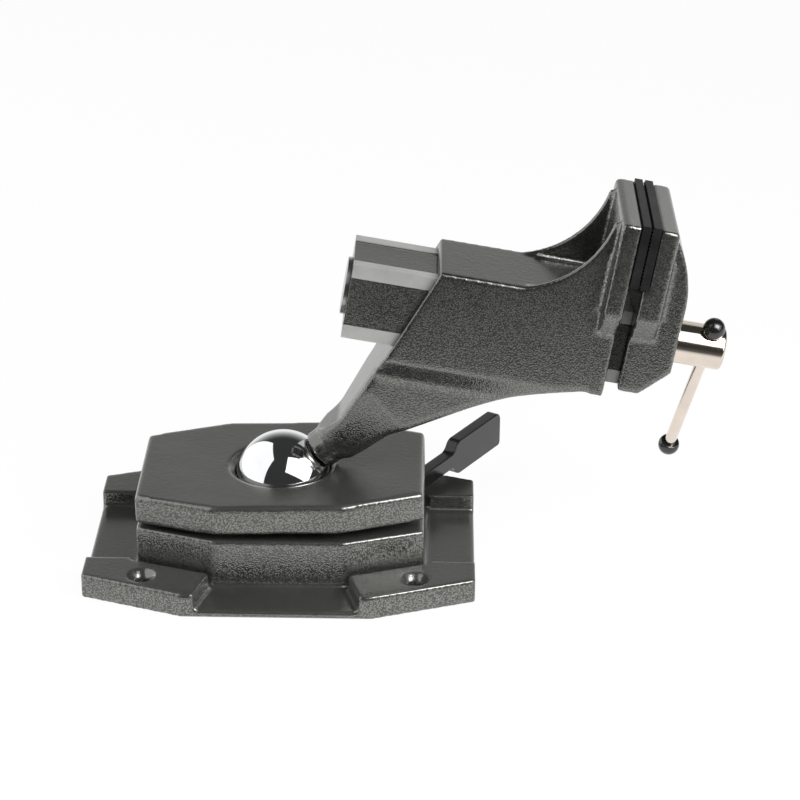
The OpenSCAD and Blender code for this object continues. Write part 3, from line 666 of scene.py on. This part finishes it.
for pieceName, spec in edgedPieces.items():
    edged = copyOfNode(spec["node"], pieceName)
    dissolveFlats(edged)
    if spec["node"] == "spindle":
        roundSpindleEnd(edged, endLook)
    softenEdges(edged, spec["edge"])
    finish = {**metals, **blacks}[spec["finish"]]
    handOver(edged, spec["body"], spec["slot"], finish, spec["node"])
print("turned pieces made")

# clamp lever: rounded tip and curved shoulders
leverLook = {
    "tipTop": 3.6 * mm, "tipBottom": 2.2 * mm, "shoulder": 2.6 * mm, "edge": 0.7 * mm,
    "segments": 6, "bevelAngle": 40,
    "level": 0.01 * mm,     # an edge across the lever rises less than this
    # shares of the lever's reach: the tip's start, the shoulders' place, the longest edge across
    "tipFrom": 0.95, "shoulders": (0.4, 0.75), "acrossEdge": 0.12,
}


def makeLever(look):
    lever = copyOfNode("clamp_lever", "clampLever")
    dissolveFlats(lever)
    hub = Vector(joints["lever_swing"]["pos_m"])
    reach = max((vertex.co - hub).xy.length for vertex in lever.data.vertices)

    def along(a, b):
        return min((a - hub).xy.length, (b - hub).xy.length) / reach

    def isAcross(a, b):
        return abs(a.z - b.z) < look["level"] and (a - b).length < look["acrossEdge"] * reach

    def atTip(a, b):
        return isAcross(a, b) and along(a, b) > look["tipFrom"]

    def atShoulder(a, b):
        return isAcross(a, b) and look["shoulders"][0] < along(a, b) < look["shoulders"][1]

    segments = look["segments"]
    bevelWanted(lever, look["tipTop"], segments, lambda a, b: atTip(a, b) and a.z > hub.z)
    bevelWanted(lever, look["tipBottom"], segments, lambda a, b: atTip(a, b) and a.z < hub.z)
    bevelWanted(lever, look["shoulder"], segments, atShoulder)
    softenEdges(lever, look["edge"], angle=look["bevelAngle"])
    handOver(lever, "lever", "black_paint", blacks["leverPaint"], "clamp_lever")


makeLever(leverLook)
print("lever made")

# knobs of the tommy bar: a ball with a flat where the bar goes in
knobLook = {
    "sides": 40,
    # share of the knob's radius: how far along the bar, how wide
    "steps": ((-0.571, 0.56), (-0.571, 0.72), (-0.555, 0.80), (-0.50, 0.86), (-0.36, 0.935),
              (-0.18, 0.985), (0.0, 1.0), (0.26, 0.967), (0.50, 0.868), (0.71, 0.707),
              (0.87, 0.50), (0.965, 0.27), (0.995, 0.10)),
    "smoothings": 2,
    "crispAngle": 50,
}


def makeKnob(nodeName, pieceName, look, outward):
    low, high = boxIn(nodeName, handleFrame)
    radius = (high.x - low.x) / 2
    (firstAlong, firstWide), *rest = look["steps"]
    bpy.ops.object.select_all(action="DESELECT")
    bpy.ops.mesh.primitive_circle_add(vertices=look["sides"], radius=radius * firstWide,
                                      fill_type="NGON", location=(0, 0, radius * firstAlong))
    knob = bpy.context.active_object
    knob.name = pieceName
    editAll(knob)
    along, wide = firstAlong, firstWide
    for nextAlong, nextWide in rest:
        step = (0, 0, radius * (nextAlong - along))
        bpy.ops.mesh.extrude_region_move(TRANSFORM_OT_translate={"value": step})
        bpy.ops.transform.resize(value=(nextWide / wide, nextWide / wide, 1))
        along, wide = nextAlong, nextWide
    bpy.ops.mesh.select_all(action="SELECT")
    bpy.ops.mesh.normals_make_consistent(inside=False)
    leaveEdit()
    applyModifier(knob, "SUBSURF", levels=look["smoothings"], render_levels=look["smoothings"])
    middle = (low + high) / 2
    middle.z = high.z - radius if outward > 0 else low.z + radius
    turn = Matrix.Identity(4) if outward > 0 else Matrix.Rotation(math.pi, 4, "X")
    place(knob, handleFrame @ Matrix.Translation(middle) @ turn)
    pick(knob)
    bpy.ops.object.shade_smooth_by_angle(angle=math.radians(look["crispAngle"]))
    handOver(knob, "handle", "black_plastic", blacks["knobPlastic"], nodeName)


makeKnob("handle_knob_upper", "knobUpper", knobLook, outward=1)
makeKnob("handle_knob_lower", "knobLower", knobLook, outward=-1)
print("knobs made")

# CAD nodes that stay as they are, with their finish
nodeFinish = {
    "plate_hinge_pin": "turnedSteel",
    "clamp_stud": "turnedSteel",
    "clamp_nut": "turnedSteel",
    "clamp_washer": "turnedSteel",
    "lower_ball_seat": "seatBronze",
    "ball_stud": "turnedSteel",
    "fixed_pad_screws": "turnedSteel",
    "moving_pad_screws": "turnedSteel",
    "spindle_nut": "seatBronze",
    "nut_screws": "turnedSteel",
    "spindle_retaining_ring": "turnedSteel",
}
for nodeName, finish in nodeFinish.items():
    nodes[nodeName].data.materials.clear()
    nodes[nodeName].data.materials.append(metals[finish])
print("nodes finished")

# floor, world and lamps: a white sweep, softboxes and a dark room in front
stageLook = {
    "floor": 5.0,
    "floorColour": (0.95, 0.95, 0.95),
    "shadowShare": 0.05,
    "sweepFront": (-0.29, -0.15),   # where the white paper ends in what bright metal sees
    "room": 0.04,                   # the dark room in the same view
    "world": 0.35,                  # what lights the object all round
    "backdrop": (0.0, 1.0, -0.75),  # direction in which the room is white
    "backdropEdge": (0.10, 0.92),
    "backdropFade": 2.0,
}


# camera rays, and those with what bright metal sees
def rayKinds(tree):
    path = tree.nodes.new("ShaderNodeLightPath")
    camera = seen = path.outputs["Is Camera Ray"]
    for name in ("Is Glossy Ray", "Is Transmission Ray"):
        either = tree.nodes.new("ShaderNodeMath")
        either.operation = "MAXIMUM"
        tree.links.new(seen, either.inputs[0])
        tree.links.new(path.outputs[name], either.inputs[1])
        seen = either.outputs[0]
    return camera, seen


def mapped(tree, source, fromRange, toRange):
    node = tree.nodes.new("ShaderNodeMapRange")
    node.inputs["From Min"].default_value, node.inputs["From Max"].default_value = fromRange
    node.inputs["To Min"].default_value, node.inputs["To Max"].default_value = toRange
    tree.links.new(source, node.inputs["Value"])
    return node.outputs["Result"]


def larger(tree, first, second):
    node = tree.nodes.new("ShaderNodeMath")
    node.operation = "MAXIMUM"
    tree.links.new(first, node.inputs[0])
    tree.links.new(second, node.inputs[1])
    return node.outputs[0]


def addFloor(look):
    bpy.ops.object.select_all(action="DESELECT")
    bpy.ops.mesh.primitive_plane_add(size=look["floor"], location=(0, 0, 0))
    floor = bpy.context.active_object
    floor.name = "floor"
    material = bpy.data.materials.new("floorPaper")
    material.use_nodes = True
    tree = material.node_tree
    tree.nodes.clear()
    output = tree.nodes.new("ShaderNodeOutputMaterial")
    mix = tree.nodes.new("ShaderNodeMixShader")
    diffuse = tree.nodes.new("ShaderNodeBsdfDiffuse")
    diffuse.inputs["Color"].default_value = (*look["floorColour"], 1)
    white = tree.nodes.new("ShaderNodeEmission")
    coords = tree.nodes.new("ShaderNodeTexCoord")
    split = tree.nodes.new("ShaderNodeSeparateXYZ")
    tree.links.new(coords.outputs["Object"], split.inputs[0])
    camera, seen = rayKinds(tree)
    sweep = mapped(tree, split.outputs["Y"], look["sweepFront"], (look["room"], 1.0))
    tree.links.new(larger(tree, camera, sweep), white.inputs["Strength"])
    tree.links.new(mapped(tree, seen, (0, 1), (0, 1 - look["shadowShare"])), mix.inputs["Fac"])
    tree.links.new(diffuse.outputs[0], mix.inputs[1])
    tree.links.new(white.outputs[0], mix.inputs[2])
    tree.links.new(mix.outputs[0], output.inputs["Surface"])
    floor.data.materials.append(material)


def addWorld(look):
    world = bpy.data.worlds.new("studio")
    world.use_nodes = True
    scene.world = world
    tree = world.node_tree
    background = tree.nodes["Background"]
    background.inputs["Color"].default_value = (1, 1, 1, 1)
    sight = tree.nodes.new("ShaderNodeTexCoord")
    towards = tree.nodes.new("ShaderNodeVectorMath")
    towards.operation = "DOT_PRODUCT"
    towards.inputs[1].default_value = look["backdrop"]
    tree.links.new(sight.outputs["Generated"], towards.inputs[0])
    fade = tree.nodes.new("ShaderNodeMath")
    fade.operation = "POWER"
    fade.inputs[1].default_value = look["backdropFade"]
    nearness = mapped(tree, towards.outputs["Value"], look["backdropEdge"], (0, 1))
    tree.links.new(nearness, fade.inputs[0])
    camera, seen = rayKinds(tree)
    shown = larger(tree, camera, mapped(tree, fade.outputs[0], (0, 1), (look["room"], 1.0)))
    level = tree.nodes.new("ShaderNodeMapRange")
    level.inputs["To Min"].default_value = look["world"]
    tree.links.new(seen, level.inputs["Value"])
    tree.links.new(shown, level.inputs["To Max"])
    tree.links.new(level.outputs["Result"], background.inputs["Strength"])


# places from the ball, as its bright patches in the photo show them
lampLooks = {
    "leftBox": {
        "at": (-0.50, 0.12, 0.66), "faces": (1, 0, 0), "long": (0, 0, 1),
        "size": (1.35, 1.25), "watts": 6.6,
    },
    "rightBox": {
        "at": (0.39, -0.285, 0.362), "faces": (-0.65, 0.47, -0.60), "long": (0.73, 0.30, -0.63),
        "size": (0.72, 0.47), "watts": 2.0,
    },
    "rightCore": {
        "at": (0.377, -0.276, 0.350), "faces": (-0.65, 0.47, -0.60), "long": (0.73, 0.30, -0.63),
        "size": (0.32, 0.22), "watts": 1.9,
    },
    "backBox": {
        "at": (0.35, 0.45, 0.41), "faces": (-0.1, -0.8, -0.6), "long": (1, 0, 0),
        "size": (0.20, 0.28), "watts": 0.09,
    },
}


def addLamp(name, look):
    lamp = bpy.data.objects.new(name, bpy.data.lights.new(name, "AREA"))
    scene.collection.objects.link(lamp)
    lamp.data.shape = "RECTANGLE"
    lamp.data.size, lamp.data.size_y = look["size"]
    lamp.data.energy = look["watts"]
    lamp.visible_camera = False
    away = -Vector(look["faces"]).normalized()
    side = away.cross(Vector(look["long"])).normalized()
    lamp.matrix_world = frameOf(side.cross(away), side, away, ballCentre + Vector(look["at"]))


addFloor(stageLook)
addWorld(stageLook)
for lampName, look in lampLooks.items():
    addLamp(lampName, look)
scene.view_settings.view_transform = "Standard"
print("stage set")
